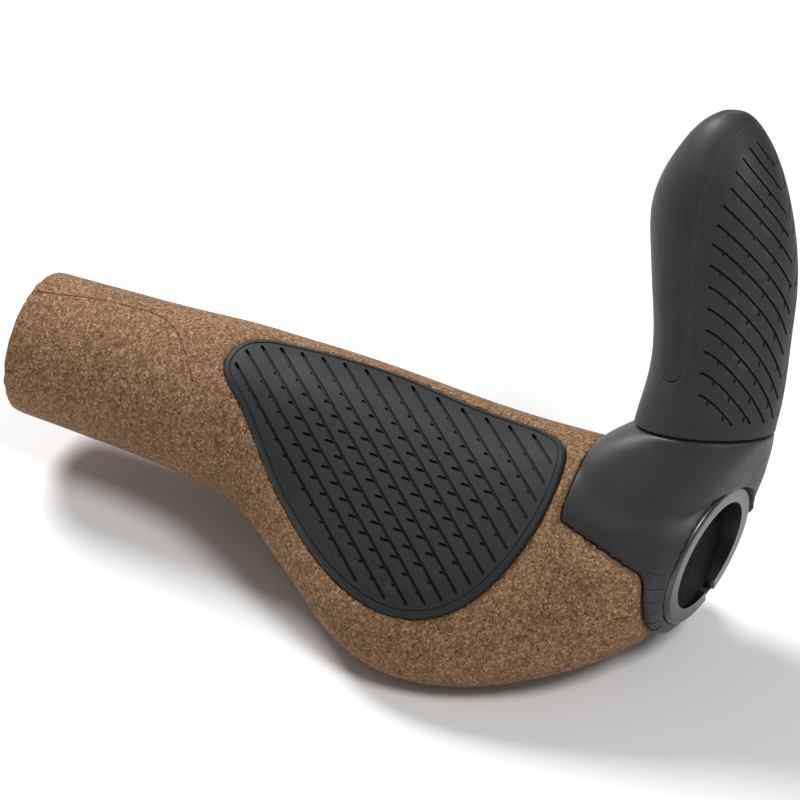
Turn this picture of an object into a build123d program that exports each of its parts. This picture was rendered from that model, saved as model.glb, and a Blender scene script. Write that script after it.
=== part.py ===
from build123d import *
from math import cos, exp, log, radians, sin
import os

os.makedirs("parts", exist_ok=True)

# Frame: origin on the handlebar axis at the inboard mouth of the grip.
# +X runs outboard along the bar, +Y points forward, +Z up. Millimetres.
# Angles round the bar are measured from forward (+Y) up towards +Z.

# Handlebar fit
bore_r = 11.2
bore_len = 146.0
sleeve_r = 12.5
sleeve_len = 154.0

# Cork body: x, tube radius, wing reach, radius of the wing's rear edge
body_len = 151.5
wing_angle = 205.0
body_stations = (
    (0.0, 15.6, 14.0, 14.0),
    (6.0, 15.85, 14.0, 14.0),
    (15.0, 16.2, 14.0, 13.95),
    (26.0, 16.6, 14.0, 13.8),
    (38.0, 17.3, 14.6, 13.2),
    (46.0, 17.8, 17.0, 12.6),
    (54.0, 18.0, 19.6, 12.0),
    (66.0, 18.1, 26.3, 10.4),
    (80.0, 17.9, 35.8, 8.8),
    (94.0, 17.3, 44.2, 8.0),
    (108.0, 16.8, 46.7, 7.7),
    (122.0, 17.0, 43.6, 8.0),
    (136.0, 17.6, 36.3, 8.8),
    (146.0, 18.0, 28.0, 9.6),
    (151.5, 18.1, 20.6, 10.2),
)
section_points = 24
shoulder_x = 131.0
lobe_bore_r = 16.2
lobe_facing = 190.0
lobe_top = (12.3, 7.0)
lobe_low = -13.6

# Palm pad
pad_facing = 115.0
pad_depth = 1.8
pad_proud = 0.5
pad_fit = 0.996
pad_middle = (90.0, -12.0)

# Bar end housing
collar_r = 18.2
collar_bore_r = 15.8
flange_r = 18.5
flange_x = 151.9
flange_t = 1.8
flange_tip_r = 16.2
running_gap = 0.35
end_facing = (0.984, -0.118, -0.132)
housing_end = 158.0

# Horn: distance from the bar axis, x, half width, half thickness
horn_lift = 67.0
horn_lean = -0.17
seam_h = 26.0
horn_stations = (
    (26.0, 152.0, 14.9, 12.8),
    (30.0, 152.2, 14.8, 12.6),
    (38.0, 152.5, 14.4, 12.3),
    (47.0, 151.7, 14.5, 12.3),
    (55.5, 150.3, 15.2, 12.6),
    (63.5, 148.5, 15.4, 12.7),
    (71.5, 146.4, 14.8, 12.3),
    (79.7, 145.2, 12.3, 10.6),
    (84.0, 144.9, 10.1, 8.9),
    (88.0, 144.6, 7.4, 6.7),
    (90.7, 144.6, 4.7, 4.4),
    (92.0, 144.6, 2.4, 2.2),
)
# Neck under the horn: distance from the bar axis, inboard x, outboard x, half thickness,
# squareness of the section, lean of the section outboard towards the front
neck_stations = (
    (3.0, 129.5, 158.6, 17.9, 4.4, 0.18),
    (8.0, 129.5, 160.4, 17.0, 4.0, 0.18),
    (12.0, 129.7, 161.8, 15.9, 3.7, 0.18),
    (16.0, 130.1, 163.2, 14.9, 3.4, 0.16),
    (19.0, 130.9, 164.3, 14.1, 3.1, 0.13),
    (21.5, 132.2, 165.2, 13.5, 2.8, 0.09),
    (23.5, 134.0, 165.8, 13.1, 2.5, 0.05),
    (25.0, 135.9, 166.3, 12.9, 2.2, 0.02),
    (26.0, 137.2, 166.5, 12.8, 2.0, 0.0),
)
cover_wall = 2.2
spigot_sections = 8
inlay_depth = 1.0
inlay_fit = 0.99
inlay_middle = (8.0, 66.0)
cap_middle = (-6.0, -3.5)
inlay_turn = 227.0

# Clamp
clamp_in_r = 12.55
clamp_start = 131.6
mouth_r = 12.15
mouth_x = 158.8
slit_angle = -73.0
slit_w = 3.4
ear_x0 = 140.0
ear_x1 = 150.0
ear_r = 22.0
ear_out = 6.0
bolt_r = 2.0
bolt_reach = 18.9
bolt_x = 0.5 * (ear_x0 + ear_x1)
head_r = 3.5
head_t = 4.0
washer_r = 3.9
washer_t = 0.8
nut_r = 4.0
nut_t = 3.0


def polar(radius, angle):
    return (radius * cos(radians(angle)), radius * sin(radians(angle)))


def facing(angle, out=0.0):
    """Plane through the bar axis whose normal points round the bar at angle."""
    y, z = polar(1.0, angle)
    return Plane(origin=(0, out * y, out * z), x_dir=(1, 0, 0), z_dir=(0, y, z))


def body_section(tube, reach, edge):
    """Circle round the bar and the wing's rear edge under one taut, softened skin."""
    throw = reach - edge
    soft = 0.8 + 0.09 * throw
    points = []
    for i in range(section_points):
        even = radians(360.0 * i / section_points)
        turn = even + 0.25 * sin(2 * even)
        lead = (edge + throw * cos(turn) - tube) / soft
        pull = 1 / (1 + exp(-lead))
        radius = tube + soft * log(1 + exp(lead)) - pull * throw * cos(turn)
        around = turn + radians(wing_angle)
        y = radius * cos(around) + pull * throw * cos(radians(wing_angle))
        z = radius * sin(around) + pull * throw * sin(radians(wing_angle))
        points.append((y, z))
    return points


def body_loft(grow):
    with BuildPart() as shape:
        for x, tube, reach, edge in body_stations:
            with BuildSketch(Plane.YZ.offset(x)):
                with BuildLine():
                    Spline(*body_section(tube + grow, reach + grow, edge + grow), periodic=True)
                make_face()
        loft()
    return shape.part


def horn_plane(h, x):
    y, z = polar(h, horn_lift)
    dy, dz = polar(1.0, horn_lift)
    return Plane(origin=(x, y, z), x_dir=(1, 0, -horn_lean / dz), z_dir=(horn_lean, dy, dz))


def horn_loft(stations, shrink):
    top = horn_stations[-1][0]
    with BuildPart() as shape:
        for h, x, half_w, half_t in stations:
            level = h - shrink * (h - seam_h) / (top - seam_h)
            with BuildSketch(horn_plane(level, x)):
                Ellipse(half_w - shrink, half_t - shrink)
        loft()
    return shape.part


def neck_loft():
    """Squarish sections on the collar turning into the ellipse at the horn's foot."""
    with BuildPart() as shape:
        for h, x0, x1, half_t, square, lean in neck_stations:
            plane = horn_plane(h, 0.5 * (x0 + x1))
            half_w = 0.5 * (x1 - x0) / plane.x_dir.X
            points = []
            for i in range(section_points):
                c = cos(radians(360.0 * i / section_points))
                s = sin(radians(360.0 * i / section_points))
                across = half_w * abs(c) ** (2 / square) * (1 if c > 0 else -1)
                through = half_t * abs(s) ** (2 / square) * (1 if s > 0 else -1)
                points.append((across + lean * through, through))
            with BuildSketch(plane):
                with BuildLine():
                    Spline(*points, periodic=True)
                make_face()
        loft()
    return shape.part


def lobe_prism(gap):
    """Outline of the cork's rear lobe, with a gap round it, carried out from the bar axis."""
    x0 = shoulder_x + gap
    x1 = body_len + gap
    with BuildPart() as shape:
        with BuildSketch(facing(lobe_facing)):
            Polygon(
                (x0 - 20, lobe_top[0] + 4),
                (x0, lobe_top[0] + 4),
                (x0, lobe_top[0] + gap),
                (x1, lobe_top[1] + gap),
                (x1, lobe_low - gap),
                (x0 - 20, lobe_low - gap),
                align=None,
            )
            fillet(vertices().sort_by(Axis.X)[-4:-2].sort_by(Axis.Y)[-1], 3.0)
            fillet(vertices().sort_by(Axis.X)[-2:], 2.5)
        extrude(amount=60)
    return shape.part


def scaled(outline, middle, fit):
    """Outline drawn in towards its middle, so a piece sits inside its pocket."""
    mx, my = middle
    return [(mx + fit * (x - mx), my + fit * (y - my)) for x, y in outline]


def pad_prism(fit):
    """Outline of the palm pad carried straight through the upper surface."""
    outline = (
        (49.3, 2.5),
        (52.0, 8.6),
        (61.5, 11.3),
        (73.0, 12.3),
        (84.0, 12.5),
        (97.0, 11.1),
        (109.0, 10.1),
        (119.0, 9.6),
        (125.2, 7.2),
        (128.2, -0.6),
        (128.2, -10.0),
        (124.8, -23.0),
        (117.0, -33.8),
        (111.0, -37.2),
        (104.0, -38.4),
        (96.5, -37.2),
        (89.0, -34.3),
        (79.5, -28.4),
        (67.5, -18.2),
        (54.5, -5.2),
    )
    with BuildPart() as shape:
        with BuildSketch(facing(pad_facing)):
            with BuildLine():
                Spline(*scaled(outline, pad_middle, fit), periodic=True)
            make_face()
        extrude(amount=40)
    return shape.part


def inlay_prism(fit):
    """Outline of the horn's thumb strip carried out from inside the horn."""
    base = horn_plane(0.0, 150.0)
    outward = base.x_dir * cos(radians(inlay_turn)) + base.y_dir * sin(radians(inlay_turn))
    outline = (
        (13.3, 52.0),
        (13.8, 66.0),
        (13.8, 78.0),
        (13.0, 87.0),
        (10.0, 93.5),
        (2.0, 95.0),
        (-2.5, 88.0),
        (0.5, 77.0),
        (4.6, 66.0),
        (5.6, 54.0),
        (6.0, 42.0),
        (8.2, 37.0),
        (11.2, 37.2),
        (12.6, 42.0),
    )
    cap = (
        (-3.4, -12.4),
        (-0.9, -9.2),
        (0.9, -6.2),
        (2.3, -3.8),
        (3.2, -0.3),
        (2.4, 3.2),
        (-0.7, 5.2),
        (-4.7, 4.7),
        (-8.7, 1.2),
        (-11.9, -3.8),
        (-13.0, -11.0),
        (-7.4, -14.0),
    )
    with BuildPart() as shape:
        with BuildSketch(Plane(origin=(150, 0, 0), x_dir=base.z_dir.cross(outward), z_dir=outward)):
            with BuildLine():
                Spline(*scaled(outline, inlay_middle, fit), periodic=True)
            make_face()
        extrude(amount=30)
        with BuildSketch(horn_plane(70.0, 150.0)):
            with BuildLine():
                Spline(*scaled(cap, cap_middle, fit), periodic=True)
            make_face()
        extrude(amount=30)
    return shape.part


# ---- Grip core: glass-filled nylon sleeve with the wing's support plate ----
with BuildPart() as grip_core:
    with BuildSketch(Plane.YZ):
        Circle(sleeve_r)
    extrude(amount=sleeve_len)
    # end flange behind the cork
    with BuildSketch(Plane.YZ):
        Circle(14.0)
    extrude(amount=1.2)
    # six keys that stop the cork turning
    for i in range(6):
        with BuildSketch(facing(i * 60.0)):
            with Locations((65.0, 0)):
                Rectangle(100.0, 2.5)
        extrude(amount=13.4)
    # support plate in the wing, with holes the cork is moulded through
    with BuildSketch(facing(wing_angle + 90.0)):
        Polygon((68, 10), (80, 21), (96, 32), (108, 34.5), (120, 32), (127, 27), (127, 10), align=None)
        fillet(vertices().sort_by(Axis.Y)[-5:], 3.0)
        for hx, hy in ((88, 20), (98, 25), (108, 27), (118, 24), (108, 18)):
            with Locations((hx, hy)):
                Circle(2.6, mode=Mode.SUBTRACT)
    extrude(amount=1.2, both=True)
    with BuildSketch(Plane.YZ.offset(-1)):
        Circle(bore_r)
    extrude(amount=sleeve_len + 2, mode=Mode.SUBTRACT)
    # counterbore for the end plug's skirt
    with BuildSketch(Plane.YZ.offset(bore_len)):
        Circle(11.5)
    extrude(amount=20, mode=Mode.SUBTRACT)
    # collet slots under the clamp
    for angle in (15.0, 105.0, 195.0, 285.0):
        with BuildSketch(facing(angle)):
            with Locations((sleeve_len - 11.0, 0)):
                SlotOverall(24.0 + 2.0, 2.0)
        extrude(amount=16, mode=Mode.SUBTRACT)
grip_core.part.label = "grip_core"

# ---- Palm pad: soft rubber laid into the cork ----
pad_outer = body_loft(pad_proud)
pad_floor = body_loft(-pad_depth)
with BuildPart() as palm_pad:
    add(pad_outer)
    add(pad_prism(pad_fit), mode=Mode.INTERSECT)
    add(pad_floor, mode=Mode.SUBTRACT)
palm_pad.part.label = "palm_pad"

# ---- Room the bar end collar turns in, leaving the cork's rear lobe ----
with BuildPart() as collar_room:
    with BuildSketch(Plane.YZ.offset(shoulder_x)):
        Circle(60)
    extrude(amount=30)
    add(lobe_prism(0.0), mode=Mode.SUBTRACT)
    with BuildSketch(Plane.YZ.offset(shoulder_x)):
        Circle(lobe_bore_r)
    extrude(amount=30)
collar_room.part.label = "collar_room"

# ---- Cork grip ----
cork_body = body_loft(0.0)
with BuildPart() as pocket:
    add(pad_prism(1.0))
    add(pad_floor, mode=Mode.SUBTRACT)
with BuildPart() as cork_grip:
    add(cork_body)
    add(collar_room.part, mode=Mode.SUBTRACT)
    add(pocket.part, mode=Mode.SUBTRACT)
    with BuildSketch(Plane.YZ.offset(-1)):
        Circle(sleeve_r)
    extrude(amount=body_len + 2, mode=Mode.SUBTRACT)
    add(grip_core.part, mode=Mode.SUBTRACT)
cork_grip.part.label = "cork_grip"

# ---- Bar end body: nylon collar, flange, neck and the horn's spigot ----
neck = neck_loft()
spigot = horn_loft(horn_stations[:spigot_sections], cover_wall)
end_plane = Plane(origin=(housing_end, 0, 0), z_dir=end_facing)
with BuildPart() as bar_end_body:
    with BuildSketch(Plane.YZ.offset(shoulder_x + running_gap)):
        Circle(collar_r)
    extrude(amount=flange_x - shoulder_x - running_gap)
    add(neck)
    # sector left open for the cork's rear lobe, and for the swing below it
    add(lobe_prism(running_gap), mode=Mode.SUBTRACT)
    with BuildSketch(Plane.YZ.offset(shoulder_x - 1)):
        Polygon((0, 0), polar(60, 210), polar(60, 272), align=None)
    extrude(amount=flange_x - shoulder_x + 1, mode=Mode.SUBTRACT)
    # flange, drawn down to the clamp's leaning face
    with BuildSketch(Plane.YZ.offset(flange_x)):
        Circle(flange_r)
    extrude(amount=flange_t)
    with BuildSketch(Plane.YZ.offset(flange_x + flange_t)):
        Circle(flange_r)
    with BuildSketch(end_plane):
        Circle(flange_tip_r)
    loft()
    add(spigot)
    with BuildSketch(Plane.YZ.offset(shoulder_x - 20)):
        Circle(collar_bore_r)
    extrude(amount=70, mode=Mode.SUBTRACT)
    # room round the clamp's outboard face
    with BuildSketch(end_plane):
        Circle(16.3)
    extrude(amount=30, mode=Mode.SUBTRACT)
    # nothing reaches inboard over the cork
    with BuildSketch(Plane.YZ.offset(shoulder_x + running_gap)):
        Circle(30)
    extrude(amount=-20, mode=Mode.SUBTRACT)
    # window round the clamp's ears, and a flat where the screw comes out forward
    with BuildSketch(facing(slit_angle)):
        with Locations((bolt_x, 0)):
            Rectangle(ear_x1 - ear_x0 + 1.2, 2 * ear_out + 1.2)
    extrude(amount=40, mode=Mode.SUBTRACT)
    with BuildSketch(facing(slit_angle, 14.8)):
        with Locations((bolt_x, -8.0)):
            Rectangle(ear_x1 - ear_x0 + 1.2, 16.0)
    extrude(amount=20, mode=Mode.SUBTRACT)
bar_end_body.part.label = "bar_end_body"

# ---- Horn inlay and cover ----
horn_outer = horn_loft(horn_stations, 0.0)
inlay_floor = horn_loft(horn_stations, inlay_depth)
with BuildPart() as horn_inlay:
    add(horn_outer)
    add(inlay_prism(inlay_fit), mode=Mode.INTERSECT)
    add(inlay_floor, mode=Mode.SUBTRACT)
horn_inlay.part.label = "horn_inlay"

with BuildPart() as inlay_pocket:
    add(inlay_prism(1.0))
    add(inlay_floor, mode=Mode.SUBTRACT)
with BuildPart() as horn_cover:
    add(horn_outer)
    add(spigot, mode=Mode.SUBTRACT)
    add(inlay_pocket.part, mode=Mode.SUBTRACT)
horn_cover.part.label = "horn_cover"

# ---- Clamp ring: slit aluminium ring with two ears ----
bolt_y, bolt_z = polar(bolt_reach, slit_angle)
side_y, side_z = polar(1.0, slit_angle + 90)
bolt_plane = Plane(origin=(bolt_x, bolt_y, bolt_z), x_dir=(1, 0, 0), z_dir=(0, side_y, side_z))
with BuildPart() as clamp_ring:
    with BuildSketch(Plane.YZ.offset(clamp_start)):
        Circle(collar_bore_r)
    extrude(amount=40)
    # outboard face leans down and back
    with BuildSketch(Plane(origin=(mouth_x, 0, 0), z_dir=end_facing)):
        Circle(60)
    extrude(amount=40, mode=Mode.SUBTRACT)
    fillet(edges().sort_by(Axis.X)[-1], 0.9)
    # ears
    with BuildSketch(facing(slit_angle)):
        with Locations((bolt_x, 0)):
            Rectangle(ear_x1 - ear_x0, 2 * ear_out)
    extrude(amount=ear_r)
    with BuildSketch(Plane.YZ.offset(clamp_start - 1)):
        Circle(clamp_in_r)
    extrude(amount=sleeve_len - clamp_start + 1, mode=Mode.SUBTRACT)
    with BuildSketch(Plane.YZ.offset(sleeve_len)):
        Circle(mouth_r)
    extrude(amount=20, mode=Mode.SUBTRACT)
    # slit
    with BuildSketch(facing(slit_angle)):
        with Locations((bolt_x, 0)):
            Rectangle(60, slit_w)
    extrude(amount=40, mode=Mode.SUBTRACT)
    # bolt hole and captive nut pocket
    with BuildSketch(bolt_plane):
        Circle(bolt_r + 0.35)
    extrude(amount=20, both=True, mode=Mode.SUBTRACT)
    with BuildSketch(bolt_plane.offset(-ear_out)):
        RegularPolygon(nut_r + 0.1, 6)
    extrude(amount=nut_t, mode=Mode.SUBTRACT)
clamp_ring.part.label = "clamp_ring"

# ---- Clamp screw set ----
with BuildPart() as clamp_nut:
    with BuildSketch(bolt_plane.offset(-ear_out)):
        RegularPolygon(nut_r, 6)
        Circle(bolt_r + 0.05, mode=Mode.SUBTRACT)
    extrude(amount=nut_t)
clamp_nut.part.label = "clamp_nut"

with BuildPart() as clamp_washer:
    with BuildSketch(bolt_plane.offset(ear_out)):
        Circle(washer_r)
        Circle(bolt_r + 0.08, mode=Mode.SUBTRACT)
    extrude(amount=washer_t)
clamp_washer.part.label = "clamp_washer"

with BuildPart() as clamp_bolt:
    with BuildSketch(bolt_plane.offset(-ear_out - 1.0)):
        Circle(bolt_r)
    extrude(amount=2 * ear_out + washer_t + 1.5)
    with BuildSketch(bolt_plane.offset(ear_out + washer_t)):
        Circle(head_r)
    extrude(amount=head_t)
    fillet(edges().filter_by(GeomType.CIRCLE).sort_by(Axis.Y)[-1], 0.4)
    with BuildSketch(bolt_plane.offset(ear_out + washer_t + 1.6)):
        RegularPolygon(1.9, 6)
    extrude(amount=head_t, mode=Mode.SUBTRACT)
clamp_bolt.part.label = "clamp_bolt"

# ---- End plug: recessed disc on a split skirt ----
with BuildPart() as end_plug:
    with BuildSketch(Plane.YZ.offset(sleeve_len + 0.3)):
        Circle(12.05)
    extrude(amount=1.8)
    with BuildSketch(Plane.YZ.offset(bore_len + 0.4)):
        Circle(11.45)
        Circle(9.6, mode=Mode.SUBTRACT)
    extrude(amount=sleeve_len - bore_len)
end_plug.part.label = "end_plug"

for node in (
    grip_core,
    cork_grip,
    palm_pad,
    bar_end_body,
    horn_cover,
    horn_inlay,
    clamp_ring,
    clamp_nut,
    clamp_washer,
    clamp_bolt,
    end_plug,
):
    export_step(node.part, f"parts/{node.part.label}.step")
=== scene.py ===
import math
import bmesh
import bpy
import numpy as np
from mathutils import Matrix, Vector
from mathutils.bvhtree import BVHTree
from mathutils.geometry import delaunay_2d_cdt


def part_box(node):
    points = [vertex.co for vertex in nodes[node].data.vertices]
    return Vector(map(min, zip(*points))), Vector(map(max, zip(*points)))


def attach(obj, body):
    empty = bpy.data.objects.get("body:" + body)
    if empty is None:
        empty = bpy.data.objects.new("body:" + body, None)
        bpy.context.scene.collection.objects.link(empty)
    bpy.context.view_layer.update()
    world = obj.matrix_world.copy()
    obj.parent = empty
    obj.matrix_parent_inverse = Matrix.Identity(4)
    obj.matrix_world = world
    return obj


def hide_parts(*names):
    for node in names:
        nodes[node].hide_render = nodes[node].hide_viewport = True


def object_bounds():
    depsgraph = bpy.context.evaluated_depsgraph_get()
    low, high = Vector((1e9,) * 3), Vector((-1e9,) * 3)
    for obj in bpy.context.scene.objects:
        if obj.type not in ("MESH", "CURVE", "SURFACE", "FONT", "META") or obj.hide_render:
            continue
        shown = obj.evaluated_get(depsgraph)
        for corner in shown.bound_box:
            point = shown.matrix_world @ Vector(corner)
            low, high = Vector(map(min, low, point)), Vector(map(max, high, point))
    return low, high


# Lengths below are millimetres and MM turns them into metres.
MM = 0.001

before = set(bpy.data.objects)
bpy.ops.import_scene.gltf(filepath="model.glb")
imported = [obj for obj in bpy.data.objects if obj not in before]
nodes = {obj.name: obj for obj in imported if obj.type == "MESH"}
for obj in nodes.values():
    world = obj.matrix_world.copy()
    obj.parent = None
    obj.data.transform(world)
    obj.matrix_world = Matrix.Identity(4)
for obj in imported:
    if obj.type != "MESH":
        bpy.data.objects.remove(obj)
cad_low, cad_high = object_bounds()


# ---- Materials ----
def new_material(name, roughness, specular=0.5, metallic=0.0, sheen=0.0):
    """Material, node tree, shader and the point's place in the object's own frame."""
    paint = bpy.data.materials.new(name)
    paint.use_nodes = True
    tree = paint.node_tree
    shader = tree.nodes["Principled BSDF"]
    shader.inputs["Roughness"].default_value = roughness
    shader.inputs["Specular IOR Level"].default_value = specular
    shader.inputs["Metallic"].default_value = metallic
    shader.inputs["Sheen Weight"].default_value = sheen
    place = tree.nodes.new("ShaderNodeTexCoord").outputs["Object"]
    return paint, tree, shader, place


def noise(tree, place, size, detail=3.0, rough=0.55):
    """Noise whose grains are about size millimetres."""
    node = tree.nodes.new("ShaderNodeTexNoise")
    node.inputs["Scale"].default_value = 1.0 / (size * MM)
    node.inputs["Detail"].default_value = detail
    node.inputs["Roughness"].default_value = rough
    tree.links.new(place, node.inputs["Vector"])
    return node.outputs["Fac"]


def cells(tree, place, size, feature="F1", output="Distance"):
    """Voronoi cells about size millimetres across."""
    node = tree.nodes.new("ShaderNodeTexVoronoi")
    node.feature = feature
    node.inputs["Scale"].default_value = 1.0 / (size * MM)
    tree.links.new(place, node.inputs["Vector"])
    return node.outputs[output]


def ramp(tree, value, *stops):
    """Turns a value into greys or colours between (position, colour) stops."""
    node = tree.nodes.new("ShaderNodeValToRGB")
    band = node.color_ramp
    while len(band.elements) < len(stops):
        band.elements.new(0.5)
    for element, (at, color) in zip(band.elements, stops):
        element.position = at
        element.color = (*color, 1.0) if isinstance(color, tuple) else (color, color, color, 1.0)
    tree.links.new(value, node.inputs["Fac"])
    return node.outputs["Color"]


def mix(tree, a, b, amount, kind="MIX"):
    """Colour mix: a and b are sockets or colours, amount a socket or a number."""
    node = tree.nodes.new("ShaderNodeMix")
    node.data_type = "RGBA"
    node.blend_type = kind
    for socket, value in ((node.inputs[0], amount), (node.inputs[6], a), (node.inputs[7], b)):
        if isinstance(value, bpy.types.NodeSocket):
            tree.links.new(value, socket)
        elif isinstance(value, tuple):
            socket.default_value = (*value, 1.0)
        else:
            socket.default_value = value
    return node.outputs[2]


def math_node(tree, operation, a, b):
    """Sum, difference or product of two values."""
    node = tree.nodes.new("ShaderNodeMath")
    node.operation = operation
    for socket, value in zip(node.inputs, (a, b)):
        if isinstance(value, bpy.types.NodeSocket):
            tree.links.new(value, socket)
        else:
            socket.default_value = value
    return node.outputs[0]


def bump(tree, shader, height, depth):
    """Surface relief: depth in millimetres for a height going from 0 to 1."""
    node = tree.nodes.new("ShaderNodeBump")
    node.inputs["Strength"].default_value = 1.0
    node.inputs["Distance"].default_value = depth * MM
    tree.links.new(height, node.inputs["Height"])
    tree.links.new(node.outputs["Normal"], shader.inputs["Normal"])


def worn_edges(tree, tone, color, gain, amount):
    """Brings out a paler colour along convex edges."""
    geometry = tree.nodes.new("ShaderNodeNewGeometry")
    worn = ramp(tree, geometry.outputs["Pointiness"], (0.52, 0.0), (0.62, 1.0))
    pale = tuple(min(1.0, gain * c) for c in color)
    return mix(tree, tone, pale, math_node(tree, "MULTIPLY", worn, amount))


def patchy_roughness(tree, shader, value, rough, below, above):
    """Lets the gloss wander a little about one roughness."""
    tree.links.new(ramp(tree, value, (0.3, rough - below), (0.7, rough + above)), shader.inputs["Roughness"])


def painted_groove_shade(tree, tone, reach):
    """Painted shade: darkens a colour inside narrow grooves by how enclosed they are, standing in for the
    shade that falls there.
    """
    node = tree.nodes.new("ShaderNodeAmbientOcclusion")
    node.samples = 8
    node.only_local = True
    node.inputs["Distance"].default_value = reach * MM
    return mix(tree, (0.0, 0.0, 0.0), tone, ramp(tree, node.outputs["AO"], (0.35, 0.08), (0.95, 1.0)))


def cork_material():
    """Pressed cork granules: uneven brown crumbs with dark bark and pale flecks."""
    paint, tree, shader, place = new_material("granular_cork", 0.82, 0.22)
    warp = tree.nodes.new("ShaderNodeTexNoise")
    warp.inputs["Scale"].default_value = 1.0 / (0.9 * MM)
    tree.links.new(place, warp.inputs["Vector"])
    bend = tree.nodes.new("ShaderNodeMix")
    bend.data_type = "VECTOR"
    bend.inputs[0].default_value = 0.0006
    tree.links.new(place, bend.inputs[4])
    tree.links.new(warp.outputs["Color"], bend.inputs[5])
    place = bend.outputs[1]
    coarse = ramp(
        tree,
        cells(tree, place, 0.72, output="Color"),
        (0.12, (0.100, 0.054, 0.027)),
        (0.38, (0.190, 0.112, 0.062)),
        (0.62, (0.250, 0.152, 0.087)),
        (0.90, (0.400, 0.262, 0.160)),
    )
    fine = ramp(
        tree,
        cells(tree, place, 0.38, output="Color"),
        (0.10, (0.045, 0.023, 0.012)),
        (0.30, (0.155, 0.088, 0.047)),
        (0.62, (0.255, 0.155, 0.089)),
        (0.92, (0.560, 0.390, 0.250)),
    )
    tone = mix(tree, coarse, fine, 0.6)
    bark = math_node(tree, "SUBTRACT", noise(tree, place, 0.4, 2.0, 0.6), cells(tree, place, 0.85))
    tone = mix(tree, tone, (0.035, 0.019, 0.011), ramp(tree, bark, (0.26, 0.0), (0.38, 0.95)))
    fleck = math_node(tree, "SUBTRACT", noise(tree, place, 0.3, 2.0, 0.6), cells(tree, place, 1.0))
    tone = mix(tree, tone, (0.62, 0.46, 0.31), ramp(tree, fleck, (0.32, 0.0), (0.42, 0.75)))
    cloud = ramp(tree, noise(tree, place, 18.0, 2.0, 0.5), (0.35, 0.93), (0.65, 1.06))
    tone = mix(tree, tone, cloud, 1.0, "MULTIPLY")
    tone = mix(tree, tone, (1.0, 0.91, 0.80), 1.0, "MULTIPLY")
    tree.links.new(tone, shader.inputs["Base Color"])
    edges = ramp(tree, cells(tree, place, 0.72, "DISTANCE_TO_EDGE"), (0.0, 0.0), (0.18, 0.7))
    crumbs = math_node(tree, "MULTIPLY", noise(tree, place, 0.28, 3.0), 0.9)
    bump(tree, shader, math_node(tree, "ADD", edges, crumbs), 0.045)
    tree.links.new(ramp(tree, noise(tree, place, 1.6), (0.3, 0.74), (0.7, 0.90)), shader.inputs["Roughness"])
    return paint


def rubber_material(name, color, rough, grain=0.22, relief=0.012, sheen=0.04):
    """Moulded rubber: fine matte texture, faint cloudiness, paler along worn edges, and painted shade
    darkening its grooves.
    """
    paint, tree, shader, place = new_material(name, rough, 0.30, 0.0, sheen)
    cloud = ramp(tree, noise(tree, place, 14.0, 3.0), (0.3, 0.90), (0.7, 1.10))
    tone = mix(tree, color, cloud, 1.0, "MULTIPLY")
    fine = ramp(tree, noise(tree, place, grain, 2.0), (0.35, 0.92), (0.65, 1.08))
    tone = mix(tree, tone, fine, 1.0, "MULTIPLY")
    tone = worn_edges(tree, tone, color, 2.2, 0.5)
    # Painted shade: the colour is darkened inside the grooves.
    tone = painted_groove_shade(tree, tone, 0.9)
    tree.links.new(tone, shader.inputs["Base Color"])
    patchy_roughness(tree, shader, noise(tree, place, 5.0), rough, 0.05, 0.06)
    bump(tree, shader, noise(tree, place, grain, 3.0, 0.6), relief)
    return paint


def nylon_material(name, color, rough, specular=0.4):
    """Glass-filled nylon: satin, with fine pale fibre specks and a spark-eroded texture."""
    paint, tree, shader, place = new_material(name, rough, specular)
    fleck = ramp(tree, cells(tree, place, 0.22), (0.02, 1.35), (0.12, 1.0))
    tone = mix(tree, color, fleck, 0.6, "MULTIPLY")
    tone = mix(tree, tone, ramp(tree, noise(tree, place, 9.0), (0.3, 0.92), (0.7, 1.08)), 1.0, "MULTIPLY")
    tone = worn_edges(tree, tone, color, 2.0, 0.45)
    tree.links.new(tone, shader.inputs["Base Color"])
    patchy_roughness(tree, shader, noise(tree, place, 3.0), rough, 0.05, 0.05)
    bump(tree, shader, noise(tree, place, 0.16, 3.0, 0.65), 0.008)
    return paint


def metal_material(name, color, rough, stretch):
    """Satin metal with fine machining lines: stretch squeezes the noise along each axis."""
    paint, tree, shader, place = new_material(name, rough, 0.5, 1.0)
    mapping = tree.nodes.new("ShaderNodeMapping")
    mapping.inputs["Scale"].default_value = stretch
    tree.links.new(place, mapping.inputs["Vector"])
    lines = noise(tree, mapping.outputs["Vector"], 0.35, 4.0, 0.6)
    tone = mix(tree, color, ramp(tree, lines, (0.3, 0.86), (0.7, 1.12)), 1.0, "MULTIPLY")
    tone = worn_edges(tree, tone, color, 1.8, 0.6)
    tree.links.new(tone, shader.inputs["Base Color"])
    patchy_roughness(tree, shader, lines, rough, 0.07, 0.07)
    bump(tree, shader, lines, 0.006)
    return paint


cork = cork_material()
pad_rubber = rubber_material("pad_rubber_moulded", (0.0175, 0.0190, 0.0195), 0.62)
horn_rubber = rubber_material("horn_rubber_moulded", (0.035, 0.0355, 0.036), 0.58)
inlay_plastic = rubber_material("inlay_satin", (0.031, 0.0315, 0.032), 0.54, 0.3, 0.006, 0.0)
housing_nylon = nylon_material("housing_nylon", (0.036, 0.0365, 0.0375), 0.50)
core_nylon = nylon_material("core_nylon_moulded", (0.05, 0.05, 0.052), 0.55)
ring_alloy = metal_material("ring_alloy_anodised", (0.10, 0.102, 0.105), 0.34, (9.0, 1.0, 1.0))
plug_plastic = nylon_material("plug_plastic_matte", (0.004, 0.004, 0.0042), 0.75, 0.08)
screw_steel = metal_material("screw_steel_satin", (0.42, 0.42, 0.43), 0.32, (1.0, 6.0, 1.0))


def finish_node(name, paint):
    """Gives a CAD node its own material."""
    mesh = nodes[name].data
    mesh.materials.clear()
    mesh.materials.append(paint)


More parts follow.
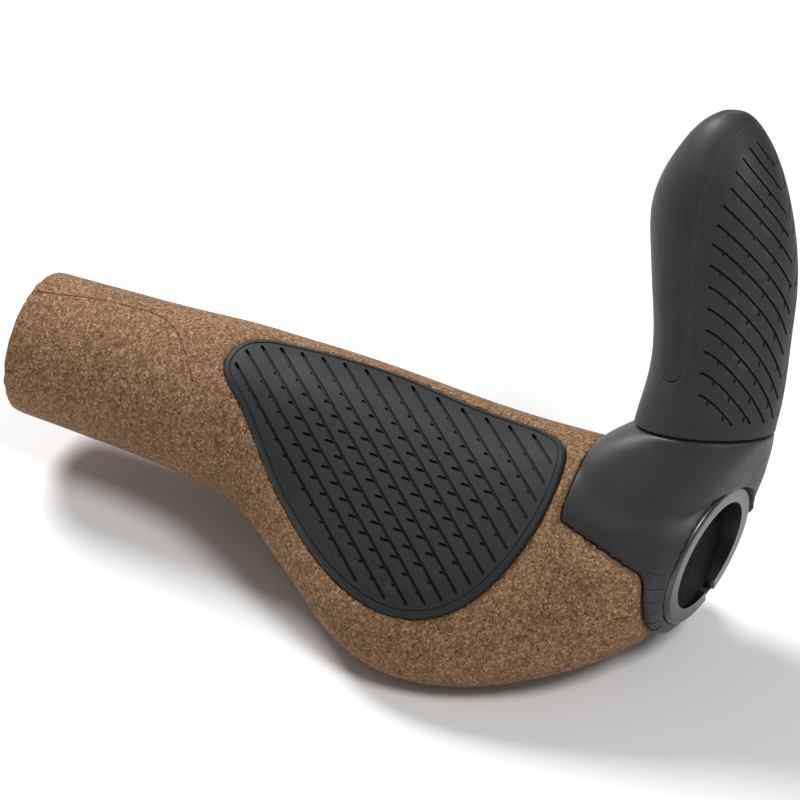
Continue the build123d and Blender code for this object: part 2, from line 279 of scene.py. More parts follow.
for node_name, node_paint in (
    ("grip_core", core_nylon),
    ("clamp_ring", ring_alloy),
    ("clamp_nut", screw_steel),
    ("clamp_washer", screw_steel),
    ("clamp_bolt", screw_steel),
    ("end_plug", plug_plastic),
    ("horn_inlay", inlay_plastic),
):
    finish_node(node_name, node_paint)


# ---- Smooth maps of the CAD surfaces ----
def tree_of(*meshes):
    """Search tree over the faces of meshes, in millimetres."""
    verts, faces = [], []
    for mesh in meshes:
        start = len(verts)
        verts += [v.co / MM for v in mesh.vertices]
        faces += [[start + i for i in p.vertices] for p in mesh.polygons]
    return BVHTree.FromPolygons(verts, faces)


def cubic(samples, t):
    """Smooth curve through four even samples, at t between the middle two."""
    a, b, c, d = samples
    return 0.5 * (2 * b + (c - a) * t + (2 * a - 5 * b + 4 * c - d) * t**2 + (3 * b - a - 3 * c + d) * t**3)


SPIKE = 0.6
MEND_ROUNDS = 400


class RadiusMap:
    """Radius of a surface over rows along its axis and columns all round it."""

    def __init__(self, start, step, radius):
        self.start, self.step = start, step
        self.radius = self.mended(radius)

    @staticmethod
    def mended(radius):
        """Fills the rays that met nothing or fell into a gap, and irons out the facets."""
        near = np.nanmedian([np.roll(radius, k, 1) for k in range(-3, 4)], axis=0)
        bad = ~(np.abs(radius - near) < SPIKE)
        out = np.where(bad, np.where(np.isfinite(near), near, np.nanmean(radius)), radius)
        for _ in range(MEND_ROUNDS):
            wide = np.pad(out, ((1, 1), (0, 0)), mode="edge")
            around = 0.25 * (wide[:-2] + wide[2:] + np.roll(out, 1, 1) + np.roll(out, -1, 1))
            out = np.where(bad, around, out)
        wide = np.pad(out, ((1, 1), (0, 0)), mode="reflect", reflect_type="odd")
        out = 0.2 * wide[:-2] + 0.6 * wide[1:-1] + 0.2 * wide[2:]
        return 0.2 * np.roll(out, 1, 1) + 0.6 * out + 0.2 * np.roll(out, -1, 1)

    def __call__(self, along, angle):
        """Radius at any place between the samples."""
        rows, columns = self.radius.shape
        r = np.clip((along - self.start) / self.step, 0, rows - 1.000001)
        c = (angle / (2 * np.pi) * columns) % columns
        i, j = np.floor(r).astype(int), np.floor(c).astype(int)
        strips = []
        for a in (-1, 0, 1, 2):
            row = np.clip(i + a, 0, rows - 1)
            strips.append(cubic([self.radius[row, (j + b) % columns] for b in (-1, 0, 1, 2)], c - j))
        return cubic(strips, r - i)


def cast(tree, start, direction, reach):
    """(distance, normal) of the first face met, or None."""
    _, normal, _, distance = tree.ray_cast(Vector(start), Vector(direction), reach)
    return None if distance is None else (distance, np.array(normal))


# Grip: rows along the bar, angles round it from forward (+Y) up towards +Z.
FAR = 80.0
CORE_RADIUS = 13.0
LOBE_START = 130
LOBE_FACING = math.radians(190.0)
PAD_PROUD = 0.5
grip_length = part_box("cork_grip")[1].x / MM


def map_grip():
    """Skin of the cork as if it ran on under the pad, without the walls of its pocket."""
    cork_tree, pad_tree = tree_of(nodes["cork_grip"].data), tree_of(nodes["palm_pad"].data)
    rows, columns, step = 102, 240, grip_length / 101
    wall = np.array([0, math.cos(LOBE_FACING - math.pi / 2), math.sin(LOBE_FACING - math.pi / 2)])
    radius = np.full((rows, columns), np.nan)
    for i in range(rows):
        x = min(max(i * step, 0.05), grip_length - 0.05)
        for j in range(columns):
            angle = 2 * math.pi * j / columns
            out = np.array([0, math.cos(angle), math.sin(angle)])
            start = np.array([x, 0, 0]) + FAR * out
            hit = cast(cork_tree, start, -out, FAR - CORE_RADIUS)
            pad_hit = cast(pad_tree, start, -out, FAR - CORE_RADIUS)
            if pad_hit and (hit is None or pad_hit[0] < hit[0]):
                radius[i, j] = FAR - pad_hit[0] - PAD_PROUD / max(abs(pad_hit[1] @ out), 0.3)
            elif hit and abs(hit[1][0]) < 0.8 and (x < LOBE_START or abs(hit[1] @ wall) < 0.9):
                radius[i, j] = FAR - hit[0]
    return RadiusMap(0.0, step, radius)


grip_map = map_grip()


def grip_point(x, angle):
    """Points of the grip's skin."""
    r = grip_map(x, angle)
    return np.stack([x, r * np.cos(angle), r * np.sin(angle)], -1)


def with_normals(point, a, b, da):
    """Points of a mapped surface and its outward normals there."""
    along = point(a + da, b) - point(a - da, b)
    around = point(a, b + 0.03) - point(a, b - 0.03)
    normal = np.cross(around, along)
    return point(a, b), normal / np.linalg.norm(normal, axis=-1, keepdims=True)


# Horn: rows are heights off the bar axis, angles turn in the section from outboard.
HORN_LIFT = math.radians(67.0)
HORN_LEAN = -0.17
HORN_ROOT_X = 148.5
HORN_REACH = 40.0
horn_up = np.array([0, math.cos(HORN_LIFT), math.sin(HORN_LIFT)])
horn_axis = np.array([HORN_LEAN, math.cos(HORN_LIFT), math.sin(HORN_LIFT)])
horn_axis /= np.linalg.norm(horn_axis)
horn_side = np.array([1.0, 0, -HORN_LEAN / math.sin(HORN_LIFT)])
horn_side /= np.linalg.norm(horn_side)
horn_front = np.cross(horn_axis, horn_side)
SEAM_H = 26.0
TOP_H = 92.0
horn_tree = tree_of(nodes["horn_cover"].data, nodes["horn_inlay"].data)


def horn_centres():
    """x of the section's middle at each height."""
    heights = np.linspace(SEAM_H + 0.5, TOP_H - 0.5, 23)
    middles = []
    for h in heights:
        centre = np.array([HORN_ROOT_X, 0, 0]) + h * horn_up
        ends = []
        for out in (horn_side, -horn_side):
            ends.append(FAR - cast(horn_tree, centre + FAR * out, -out, FAR)[0])
        middles.append(HORN_ROOT_X + 0.5 * (ends[0] - ends[1]) * horn_side[0])
    return np.poly1d(np.polyfit(heights, middles, 6))


horn_x = horn_centres()


def horn_centre(h):
    """Middle of the horn's section at a height."""
    return np.stack([horn_x(h), h * horn_up[1], h * horn_up[2]], -1)


def horn_out(angle):
    """Direction from the middle of the section at an angle."""
    return np.cos(angle)[..., None] * horn_side + np.sin(angle)[..., None] * horn_front


def map_horn():
    """Skin of the cover and the inlay together."""
    step, columns = 0.5, 180
    rows = int(round((TOP_H - SEAM_H) / step)) + 1
    radius = np.full((rows, columns), np.nan)
    for i in range(rows):
        h = min(max(SEAM_H + i * step, SEAM_H + 0.03), TOP_H - 0.03)
        centre = horn_centre(np.array(h))
        for j in range(columns):
            out = horn_out(np.array(2 * math.pi * j / columns))
            hit = cast(horn_tree, centre + HORN_REACH * out, -out, HORN_REACH)
            if hit:
                radius[i, j] = HORN_REACH - hit[0]
    return RadiusMap(SEAM_H, step, radius)


horn_map = map_horn()


def horn_point(h, angle):
    """Points of the horn's skin."""
    return horn_centre(h) + horn_map(h, angle)[..., None] * horn_out(angle)


# ---- Mesh helpers ----
def make_object(name, verts, faces, paint, sharp=35.0):
    """Mesh object from millimetre points, smooth except across sharp edges."""
    mesh = bpy.data.meshes.new(name)
    mesh.from_pydata([tuple(v) for v in np.asarray(verts) * MM], [], faces)
    mesh.validate()
    bm = bmesh.new()
    bm.from_mesh(mesh)
    bmesh.ops.recalc_face_normals(bm, faces=bm.faces)
    bm.to_mesh(mesh)
    bm.free()
    mesh.materials.append(paint)
    mesh.shade_smooth()
    mesh.set_sharp_from_angle(angle=math.radians(sharp))
    thing = bpy.data.objects.new(name, mesh)
    bpy.context.scene.collection.objects.link(thing)
    return thing


def resampled(points, step, closed=False):
    """Even spacing along a polyline."""
    points = np.asarray(points, float)
    if closed:
        points = np.vstack([points, points[:1]])
    run = np.concatenate([[0], np.cumsum(np.linalg.norm(np.diff(points, axis=0), axis=1))])
    count = max(2, int(round(run[-1] / step)) + 1)
    at = np.linspace(0, run[-1], count)
    out = np.stack([np.interp(at, run, points[:, k]) for k in range(points.shape[1])], 1)
    return out[:-1] if closed else out


def inset(outline, distance):
    """Closed counter-clockwise outline drawn in by a distance."""
    ahead = np.roll(outline, -1, 0) - np.roll(outline, 1, 0)
    ahead /= np.linalg.norm(ahead, axis=1, keepdims=True)
    return outline + distance * np.stack([-ahead[:, 1], ahead[:, 0]], 1)


def distances(points, segments):
    """Distance from every point to every segment (a, b)."""
    a, b = segments[None, :, 0], segments[None, :, 1]
    p = points[:, None]
    t = np.clip(((p - a) * (b - a)).sum(-1) / np.maximum(((b - a) ** 2).sum(-1), 1e-12), 0, 1)
    return np.linalg.norm(p - (a + t[..., None] * (b - a)), axis=-1)


def sides(outline):
    """Segments of a closed outline."""
    return np.stack([outline, np.roll(outline, -1, 0)], 1)


def inside(points, outline):
    """True for points within a closed outline."""
    x, y = points[:, 0, None], points[:, 1, None]
    a, b = outline, np.roll(outline, -1, 0)
    crosses = (a[:, 1] > y) != (b[:, 1] > y)
    rise = np.where(b[:, 1] == a[:, 1], 1e-9, b[:, 1] - a[:, 1])
    reach = a[:, 0] + (y - a[:, 1]) / rise * (b[:, 0] - a[:, 0])
    return (crosses & (x < reach)).sum(1) % 2 == 1


def triangulated(outline, loops, spots):
    """Flat triangles inside an outline, with closed loops kept as edges."""
    coords, edges = [tuple(p) for p in outline], []
    for loop in loops:
        start = len(coords)
        coords += [tuple(p) for p in loop]
        edges += [(start + k, start + k + 1) for k in range(len(loop) - 1)]
        edges.append((len(coords) - 1, start))
    coords += [tuple(p) for p in spots]
    rim = list(range(len(outline)))
    verts, _, faces, *_ = delaunay_2d_cdt([Vector(p) for p in coords], edges, [rim], 1, 1e-5)
    return np.array([tuple(v) for v in verts]), [tuple(f) for f in faces]


def closed_shell(top, bottom, faces):
    """Joins two copies of one triangulation along their rim."""
    count = len(top)
    rim = {}
    for f in faces:
        for a, b in zip(f, f[1:] + f[:1]):
            if (b, a) in rim:
                rim.pop((b, a))
            else:
                rim[(a, b)] = True
    shell = list(faces) + [tuple(count + k for k in reversed(f)) for f in faces]
    shell += [(b, a, count + a, count + b) for a, b in rim]
    return np.vstack([top, bottom]), shell


def channel(points, segments, width, flat):
    """How deep (0 to 1) each point lies in channels along segments."""
    d = distances(points, segments).min(1)
    return np.clip((width / 2 - d) / (width / 2 - flat / 2), 0, 1)


# ---- Palm pad: ribbed rubber between fine slanting grooves ----
PAD_FACING = math.radians(115.0)
pad_across = np.array([0, math.sin(PAD_FACING), -math.cos(PAD_FACING)])
pad_normal = np.array([0, math.cos(PAD_FACING), math.sin(PAD_FACING)])
POCKET_FLOOR = 1.77
EDGE_ROUND = 0.6
RIM_LINE = 1.28
GROOVE_SLANT = math.radians(-39.3)
slant = np.array([math.cos(GROOVE_SLANT), math.sin(GROOVE_SLANT)])
GROOVE_WIDTH = 0.72
GROOVE_FLAT = 0.34
GROOVE_DEPTH = 0.85
TICK_WIDTH = 0.60
TICK_FLAT = 0.24
TICK_DEPTH = 0.65


def prism_outline(name, side, across, facing, step):
    """Outline of a node's straight-cut walls, seen along the cutting direction."""
    mesh = nodes[name].data
    keep = {i for p in mesh.polygons if abs(p.normal @ Vector(facing)) < 0.03 for i in p.vertices}
    points = np.array([mesh.vertices[i].co for i in keep]) / MM
    flat = np.stack([points @ side, points @ across], 1)
    middle = 0.5 * (flat.min(0) + flat.max(0))
    spokes = flat - middle
    flat = flat[np.argsort(np.arctan2(spokes[:, 1], spokes[:, 0]))]
    thin = [flat[0]]
    for p in flat[1:]:
        if np.linalg.norm(p - thin[-1]) > 0.15:
            thin.append(p)
    return resampled(np.array(thin), step, closed=True)


def on_skin(flat, height):
    """Pad-plane points (x, v) carried onto the grip's skin, raised by height."""
    x, v = flat[:, 0], flat[:, 1]
    low_s, high_s = np.full(len(x), -5.0), np.full(len(x), 60.0)
    for _ in range(40):
        s = 0.5 * (low_s + high_s)
        y = v * pad_across[1] + s * pad_normal[1]
        z = v * pad_across[2] + s * pad_normal[2]
        outer = np.hypot(y, z) > grip_map(x, np.arctan2(z, y))
        high_s, low_s = np.where(outer, s, high_s), np.where(outer, low_s, s)
    angle = np.arctan2(z, y)
    base, normal = with_normals(grip_point, x, angle, 0.6)
    tilt = np.clip(normal @ pad_normal, 0.35, 1.0)
    return base + (height / tilt)[:, None] * pad_normal


def slot_rim(a, b, radius):
    """Closed outline of a round-ended slot from a to b."""
    ahead = (b - a) / np.linalg.norm(b - a)
    beside = np.array([-ahead[1], ahead[0]])
    rail = resampled(np.array([a, b]), 0.8)
    turns = np.radians([22.5, 45, 67.5, 90, 112.5, 135, 157.5])[:, None]
    far = b + radius * (np.cos(turns) * -beside + np.sin(turns) * ahead)
    near = a + radius * (np.cos(turns) * beside - np.sin(turns) * ahead)
    return np.vstack([rail - radius * beside, far, rail[::-1] + radius * beside, near])


def pad_grooves(outline):
    """Ends of the slanting grooves, which stop short of the pad's rim."""
    field = inset(outline, 2.5)
    grooves = []
    for i in range(16):
        run = np.array([48.25 + 5.241 * i, 0.0]) + np.arange(-40, 80, 0.1)[:, None] * slant
        run = run[inside(run, field)]
        if len(run) >= 30:
            grooves.append((run[0], run[-1]))
    return grooves


def pad_ticks(outline, grooves):
    """Short slots in rows beside the grooves, longest in the middle of the pad."""
    ticks = []
    for top, bottom in grooves:
        for row in range(-8, 20):
            foot = top + (-2.66 * row - 0.9 - top[1]) / slant[1] * slant
            from_top, from_end = (foot - top) @ slant, (bottom - foot) @ slant
            reach = distances(foot[None], sides(outline)).min()
            if from_top < 6.0 or from_end < 1.5 or reach < 3.3:
                continue
            middle = np.clip((reach - 4.0) / 7.5, 0, 1) * np.clip((from_top - 7.0) / 17.0, 0, 1)
            ticks.append((foot - np.array([0.55 + 1.6 * float(middle), 0.0]), foot))
    return ticks


def pad_spots(outline, loops):
    """Free points between the loops, in staggered rows."""
    taken = np.vstack(loops + [outline])
    gx, gy = np.meshgrid(np.arange(44, 134, 0.9), np.arange(-42, 16, 0.9))
    gx[::2] += 0.45
    spots = np.stack([gx.ravel(), gy.ravel()], 1)
    spots = spots[inside(spots, inset(outline, 1.9))]
    nearest = np.full(len(spots), np.inf)
    for part in np.array_split(taken, 40):
        nearest = np.minimum(nearest, np.linalg.norm(spots[:, None] - part[None], axis=-1).min(1))
    return spots[nearest > 0.33]


def build_palm_pad():
    """Closed pad with a rounded rim, a fine line inside it, grooves and slots."""
    outline = prism_outline("palm_pad", np.array([1.0, 0, 0]), pad_across, pad_normal, 0.6)
    grooves = pad_grooves(outline)
    ticks = pad_ticks(outline, grooves)
    loops = [inset(outline, distance) for distance in (0.05, 0.16, 0.34, 0.6, 1.12, 1.22, 1.34, 1.44)]
    for a, b in grooves:
        loops += [slot_rim(a, b, GROOVE_WIDTH / 2), slot_rim(a, b, GROOVE_FLAT / 2)]
    for a, b in ticks:
        loops += [slot_rim(a, b, TICK_WIDTH / 2), slot_rim(a, b, TICK_FLAT / 2)]
    flat, faces = triangulated(outline, loops, pad_spots(outline, loops))
    rim = distances(flat, sides(outline)).min(1)
    fall = EDGE_ROUND - np.sqrt(np.maximum(EDGE_ROUND**2 - (EDGE_ROUND - rim) ** 2, 0))
    drop = np.where(rim < EDGE_ROUND, fall, 0.0)
    rim_line = 0.20 * np.clip((0.17 - abs(rim - RIM_LINE)) / 0.11, 0, 1)
    sunk = np.where(rim > RIM_LINE, 0.07, 0.0)
    cuts = GROOVE_DEPTH * channel(flat, np.array(grooves), GROOVE_WIDTH, GROOVE_FLAT)
    cuts = np.maximum(cuts, TICK_DEPTH * channel(flat, np.array(ticks), TICK_WIDTH, TICK_FLAT))
    height = PAD_PROUD - drop - np.maximum(rim_line, sunk) - cuts
    top = on_skin(flat, height)
    bottom = on_skin(flat, np.full(len(flat), -POCKET_FLOOR))
    verts, shell = closed_shell(top, bottom, faces)
    return make_object("palm_pad_ribbed", verts, shell, pad_rubber, 30.0)


palm_pad = build_palm_pad()
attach(palm_pad, "grip")
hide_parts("palm_pad")


# ---- Cut and softened copies of CAD nodes ----
def copy_of(name, new_name, paint):
    """A piece with its own mesh, in the place of a CAD node."""
    thing = nodes[name].copy()
    thing.data = nodes[name].data.copy()
    thing.name = thing.data.name = new_name
    for key in list(thing.keys()):
        del thing[key]
    thing.data.materials.clear()
    thing.data.materials.append(paint)
    bpy.context.scene.collection.objects.link(thing)
    return thing


def applied(thing):
    """Bakes the modifiers of a piece into its mesh."""
    bpy.context.view_layer.update()
    shaped = thing.evaluated_get(bpy.context.evaluated_depsgraph_get())
    mesh = bpy.data.meshes.new_from_object(shaped)
    thing.modifiers.clear()
    thing.data = mesh
    return thing


def bar_cutter(points, normals, width, depth, loop=False):
    """Closed cutting bar along a surface path: narrow at the bottom, open above the skin."""
    ahead = np.roll(points, -1, 0) - np.roll(points, 1, 0) if loop else np.gradient(points, axis=0)
    side = np.cross(ahead, normals)
    side /= np.linalg.norm(side, axis=1, keepdims=True)
    half, foot, above = 0.5 * width, 0.18 * width, 0.6
    section = (
        (-half - 0.1, above),
        (half + 0.1, above),
        (half, 0.0),
        (foot, -depth),
        (-foot, -depth),
        (-half, 0.0),
    )
    verts, faces, count = [], [], len(section)
    for p, s, n in zip(points, side, normals):
        verts += [p + a * s + b * n for a, b in section]
    for k in range(len(points) - (0 if loop else 1)):
        for j in range(count):
            a, b = k * count + j, k * count + (j + 1) % count
            onward = (k + 1) % len(points) * count
            faces.append((a, b, onward + (j + 1) % count, onward + j))
    if not loop:
        faces.append(tuple(reversed(range(count))))
        faces.append(tuple(range(len(verts) - count, len(verts))))
    return verts, faces


def barycentric(p, a, b, c):
    """Weights of a triangle's corners at a point in it."""
    ab, ac, ap = b - a, c - a, p - a
    d00, d01, d11, d20, d21 = ab @ ab, ab @ ac, ac @ ac, ap @ ab, ap @ ac
    under = d00 * d11 - d01 * d01
    if abs(under) < 1e-20:
        return 1.0, 0.0, 0.0
    v, w = (d11 * d20 - d01 * d21) / under, (d00 * d21 - d01 * d20) / under
    return 1.0 - v - w, v, w


def skin_normals(mesh, skin):
    """Corner normals that follow the uncut skin wherever it is left standing."""
    points = [v.co.copy() for v in skin.vertices]
    corner_normals = [c.vector.copy() for c in skin.corner_normals]
    corner_of = [list(p.loop_indices) for p in skin.polygons]
    corner_points = [[points[i] for i in p.vertices] for p in skin.polygons]
    tree = BVHTree.FromPolygons(points, [tuple(p.vertices) for p in skin.polygons])
    normals = []
    for p in mesh.polygons:
        for i in p.vertices:
            place, flat, face, gap = tree.find_nearest(mesh.vertices[i].co, 0.001)
            if face is None or gap > 0.02 * MM or flat @ p.normal < 0.96:
                normals.append(tuple(p.normal))
                continue
            weights = barycentric(place, *corner_points[face][:3])
            corners = corner_of[face]
            blend = sum((w * corner_normals[corners[k]] for k, w in enumerate(weights)), Vector())
            normals.append(tuple(blend.normalized()))
    return normals


def carve(thing, bars, dense=False):
    """Cuts bars out of a piece. A piece whose mesh isn't dense keeps its skin's smooth normals."""
    verts, faces = [], []
    for bar_verts, bar_faces in bars:
        start = len(verts)
        verts += bar_verts
        faces += [tuple(start + k for k in f) for f in bar_faces]
    skin = thing.data
    cutter = make_object("cutter", verts, faces, skin.materials[0])
    knife = thing.modifiers.new("channels", "BOOLEAN")
    knife.operation = "DIFFERENCE"
    knife.object = cutter
    knife.solver = "EXACT"
    knife.use_self = not dense
    applied(thing)
    bpy.data.objects.remove(cutter, do_unlink=True)
    mesh = thing.data
    mesh.shade_smooth()
    if not dense:
        mesh.normals_split_custom_set(skin_normals(mesh, skin))
    return thing


# ---- Horn cover: chevron grooves with hanging ticks ----
# Where each groove starts, in degrees back from the outboard edge, from the tip down.
GROOVE_STARTS = (-21.3, -35.3, -45.9, -53.8, -58.2, -65.0, -70.4, -75.0)
GROOVE_STARTS += (-77.9, -79.1, -80.4, -81.7, -82.4, -83.0, -80.6)
LOWEST_GROOVE = 29.8
LOWEST_TICK = 31.5
DOME_HEIGHT = 0.75


def groove_height(i, degrees):
    """Height of horn groove i (0 at the tip) at an angle back from the outboard edge."""
    top = 36.3 + 4.5 * (14 - i) - 0.55 * max(0, 4 - i)
    fall = 1.0 if i >= 6 else 1.0 - 0.22 * (6 - i) / 6
    return top - fall * 0.02157 * np.maximum(degrees + 83.0, 0.0) ** 1.553


def horn_path(heights, degrees):
    """Points and outward normals of a line drawn on the horn."""
    return with_normals(horn_point, heights, np.radians(degrees), 0.5)


def horn_bars():
    """Cutting bars of the grooves and of the ticks that hang from them."""
    bars = []
    for i, start in enumerate(GROOVE_STARTS):
        degrees = np.arange(start, -1.9, 2.0)
        heights = groove_height(i, degrees)
        degrees, heights = degrees[heights > LOWEST_GROOVE], heights[heights > LOWEST_GROOVE]
        for mirror in (1, -1):
            bars.append(bar_cutter(*horn_path(heights, mirror * degrees), 0.55, 0.5))
        for k in range(6):
            first = -62.0 - 2.0 * (i - 9) if i >= 9 else start + 9.0
            at = first + 16.5 * k
            if at < start + 4.0 or at > -3.0 or groove_height(i, at) < LOWEST_TICK:
                continue
            drop = np.linspace(0.0, 0.9 + 0.3 * k + 0.04 * max(0, i - 6), 4)
            for mirror in (1, -1):
                tick_at = np.full(4, float(mirror * (at + 1.0)))
                path = horn_path(groove_height(i, at) - 0.05 - drop, tick_at)
                bars.append(bar_cutter(*path, 0.46, 0.30))
    return bars


def seam_gap():
    """Open joint between the horn's rubber and the housing."""
    degrees = np.arange(0.0, 360.0, 4.0)
    base, normal = horn_path(np.full(len(degrees), SEAM_H + 0.12), degrees)
    return bar_cutter(base, normal, 1.15, 0.95, loop=True)


def domed(thing):
    """Rounds off the flat spot on the horn's tip."""
    bm = bmesh.new()
    bm.from_mesh(thing.data)
    tip = horn_centre(np.array(TOP_H))

    def on_top(verts):
        """True for points that all lie on the flat spot."""
        return all((np.array(v.co) / MM - tip) @ horn_axis > -0.03 for v in verts)

    bmesh.ops.delete(bm, geom=[f for f in bm.faces if on_top(f.verts)], context="FACES")
    kept = len(bm.faces)
    rim = [e for e in bm.edges if e.is_boundary and on_top(e.verts)]
    for k in range(1, 6):
        grown = bmesh.ops.extrude_edge_only(bm, edges=rim)["geom"]
        rim = [g for g in grown if isinstance(g, bmesh.types.BMEdge)]
        before, after = math.radians(15.0 * (k - 1)), math.radians(15.0 * k)
        for v in {v for e in rim for v in e.verts}:
            place = np.array(v.co) / MM - tip
            lift = place @ horn_axis
            place = (place - lift * horn_axis) * math.cos(after) / math.cos(before)
            v.co = Vector(tip + place + DOME_HEIGHT * math.sin(after) * horn_axis) * MM
    bmesh.ops.holes_fill(bm, edges=rim, sides=0)
    bm.faces.ensure_lookup_table()
    cap = bm.faces[kept:]
    for f in cap:
        f.normal_update()
        if (f.calc_center_median() - Vector(tip - 3.0 * horn_axis) * MM) @ f.normal < 0:
            f.normal_flip()
    bmesh.ops.triangulate(bm, faces=cap)
    for f in bm.faces:
        f.smooth = True
    bm.to_mesh(thing.data)
    bm.free()
    return thing


horn_cover = domed(copy_of("horn_cover", "horn_cover_grooved", horn_rubber))
horn_cover = carve(horn_cover, horn_bars() + [seam_gap()])
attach(horn_cover, "bar_end")
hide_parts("horn_cover")


# ---- Moulded bodies with soft corners ----
def softened(thing, voxel, rounds, blend=None):
    """Rounds the creases of a closed piece, with a wider blend where it is asked for."""
    net = thing.modifiers.new("net", "REMESH")
    net.mode = "VOXEL"
    net.voxel_size = voxel * MM
    net.adaptivity = 0.0
    net.use_smooth_shade = True
    ease = thing.modifiers.new("ease", "SMOOTH")
    ease.factor = 0.5
    ease.iterations = rounds
    applied(thing)
    if blend:
        points = np.array([v.co for v in thing.data.vertices]) / MM
        group = thing.vertex_groups.new(name="blend")
        for k, weight in enumerate(blend(points)):
            if weight > 0.01:
                group.add([k], float(weight), "REPLACE")
        melt = thing.modifiers.new("melt", "SMOOTH")
        melt.factor = 0.5
        melt.iterations = 140
        melt.vertex_group = "blend"
        applied(thing)
    thing.data.shade_smooth()
    return thing


def housing_blend(points):
    """How freely each point may relax: fully on the open shoulder, hardly at the borders."""
    x, (y, z) = points[:, 0], points[:, 1:].T
    angle, radius = np.arctan2(z, y), np.hypot(y, z)
    beside = radius * np.sin(LOBE_FACING - angle)
    weight = np.clip((x - 132.2) / 3.0, 0, 1) * np.clip((25.0 - points @ horn_up) / 2.5, 0, 1)
    weight *= np.clip((beside - 12.9 + 0.27 * np.clip(x - 131.0, 0, 21)) / 2.2, 0, 1)
    return weight * np.clip((radius - 16.8) / 0.8, 0, 1) * np.clip((156.5 + (z + 12) * 0.12 - x) / 2.5, 0, 1)


housing = softened(copy_of("bar_end_body", "bar_end_housing", housing_nylon), 0.42, 5, blend=housing_blend)
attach(housing, "bar_end")
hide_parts("bar_end_body")
FLANGE_RADIUS = 16.4


def add_bars(thing, bars):
    """Adds closed raised bars to a piece's own mesh."""
    bm = bmesh.new()
    bm.from_mesh(thing.data)
    for bar_verts, bar_faces in bars:
        new = [bm.verts.new(Vector(v) * MM) for v in bar_verts]
        for f in bar_faces:
            bm.faces.new([new[k] for k in f])
    bmesh.ops.recalc_face_normals(bm, faces=bm.faces)
    bm.to_mesh(thing.data)
    bm.free()


def index_mark(skin, angle):
    """Raised tick that runs over the housing's flange towards the clamp."""
    turn = math.radians(angle)
    out = np.array([0, math.cos(turn), math.sin(turn)])
    side = np.array([0, -math.sin(turn), math.cos(turn)])
    path = []
    for x in np.linspace(152.3, 156.6, 12):
        hit = cast(skin, np.array([x, 0, 0]) + 30 * out, -out, 18)
        if hit and 30 - hit[0] > FLANGE_RADIUS:
            path.append(np.array([x, 0, 0]) + (30 - hit[0]) * out)
    path = np.array(path)
    ahead = np.gradient(path, axis=0)
    normal = np.cross(side, ahead)
    normal /= np.linalg.norm(normal, axis=1, keepdims=True)
    normal *= np.sign(normal @ out)[:, None]
    verts, faces, last = [], [], len(path) - 1
    for k, p in enumerate(path):
        rise = 0.22 if 0 < k < last else 0.02
        section = ((-0.24, -0.5), (0.24, -0.5), (0.15, rise), (-0.15, rise))
        verts += [p + a * side + b * normal[k] for a, b in section]
    for k in range(last):
        for j in range(4):
            a, b = 4 * k + j, 4 * k + (j + 1) % 4
            faces.append((a, b, b + 4, a + 4))
    return verts, faces + [(3, 2, 1, 0), tuple(4 * last + j for j in range(4))]


housing_skin = tree_of(housing.data)
add_bars(housing, [index_mark(housing_skin, angle) for angle in (162, 173, 184, 195, 206, 217)])


# ---- Cork body: mould seam and index mark ----
cork_body = softened(copy_of("cork_grip", "cork_body", cork), 0.68, 6)


def grip_path(xs, degrees):
    """Points and outward normals of a line drawn on the cork."""
    return with_normals(grip_point, xs, np.radians(degrees), 0.6)


# Lines on the cork are (x, degrees), and a degree is about 0.28 mm wide.
DEGREE_WIDTH = 0.28
seam = np.array(
    [
        (0.9, 98.5),
        (7.4, 93.9),
        (14.4, 87.9),
        (19.7, 86.1),
        (25.4, 85.7),
        (29.4, 87.2),
        (32.2, 90.6),
        (34.6, 95.8),
        (37.5, 104.0),
        (40.5, 115.5),
        (42.8, 125.0),
        (44.5, 132.5),
    ]
)
seam = resampled(seam * (1.0, DEGREE_WIDTH), 0.7) / (1.0, DEGREE_WIDTH)
mark = np.stack([np.linspace(147.9, 150.6, 5), np.linspace(187.6, 189.2, 5)], 1)
cuts = [bar_cutter(*grip_path(*seam.T), 0.42, 0.42), bar_cutter(*grip_path(*mark.T), 0.42, 0.36)]
cork_body = carve(cork_body, cuts, dense=True)
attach(cork_body, "grip")
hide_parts("cork_grip")


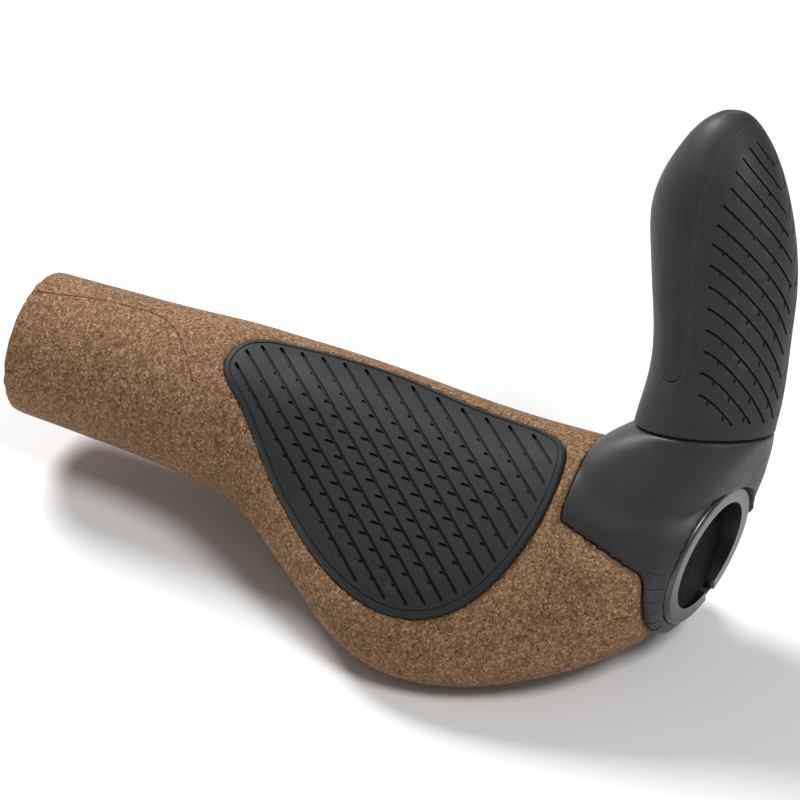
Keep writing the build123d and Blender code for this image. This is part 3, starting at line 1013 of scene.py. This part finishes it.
# ---- Camera, light and floor ----
AZIMUTH = math.radians(26.8)
ELEVATION = math.radians(38.6)
CAMERA_DISTANCE = 1.162
flat_back = Vector((math.sin(AZIMUTH), -math.cos(AZIMUTH), 0.0))
back = flat_back * math.cos(ELEVATION) + Vector((0.0, 0.0, math.sin(ELEVATION)))
right = Vector((math.cos(AZIMUTH), math.sin(AZIMUTH), 0.0))
up = back.cross(right)
look_at = Vector((83.5, 7.56, 8.45)) * MM
camera_data = bpy.data.cameras.new("camera")
camera_data.sensor_width = 36.0
camera_data.lens = 248.175
camera = bpy.data.objects.new("camera", camera_data)
camera_turn = Matrix((right, up, back)).transposed().to_4x4()
camera.matrix_world = Matrix.Translation(look_at + back * CAMERA_DISTANCE) @ camera_turn
bpy.context.scene.collection.objects.link(camera)
bpy.context.scene.camera = camera


def area_light(name, place, size, power, aim):
    """Soft round light of a size in metres, turned towards a point."""
    data = bpy.data.lights.new(name, "AREA")
    data.shape = "DISK"
    data.size = size
    data.energy = power
    lamp = bpy.data.objects.new(name, data)
    lamp.location = place
    lamp.rotation_mode = "QUATERNION"
    lamp.rotation_quaternion = (Vector(aim) - Vector(place)).to_track_quat("-Z", "Y")
    bpy.context.scene.collection.objects.link(lamp)


middle = (cad_low + cad_high) / 2
area_light("key", middle + 0.70 * up - 0.34 * right - 0.05 * back, 0.30, 6.8, middle)
area_light("fill", middle + 0.85 * back + 0.45 * right + 0.35 * up, 0.35, 5.6, middle)

world = bpy.data.worlds.new("studio")
world.use_nodes = True
world.node_tree.nodes["Background"].inputs["Color"].default_value = (1.0, 1.0, 1.0, 1.0)
world.node_tree.nodes["Background"].inputs["Strength"].default_value = 0.19
bpy.context.scene.world = world
bpy.context.scene.view_settings.view_transform = "Standard"


def plain_floor():
    """Wide pale sheet just under the object."""
    mesh = bpy.data.meshes.new("floor")
    bm = bmesh.new()
    bmesh.ops.create_grid(bm, x_segments=4, y_segments=4, size=4.0)
    bm.to_mesh(mesh)
    bm.free()
    floor = bpy.data.objects.new("floor", mesh)
    floor.location = (0, 0, cad_low.z - 0.0005)
    bpy.context.scene.collection.objects.link(floor)
    paint = bpy.data.materials.new("floor_paper")
    paint.use_nodes = True
    shader = paint.node_tree.nodes["Principled BSDF"]
    shader.inputs["Base Color"].default_value = (0.93, 0.93, 0.93, 1)
    shader.inputs["Roughness"].default_value = 0.9
    mesh.materials.append(paint)


plain_floor()
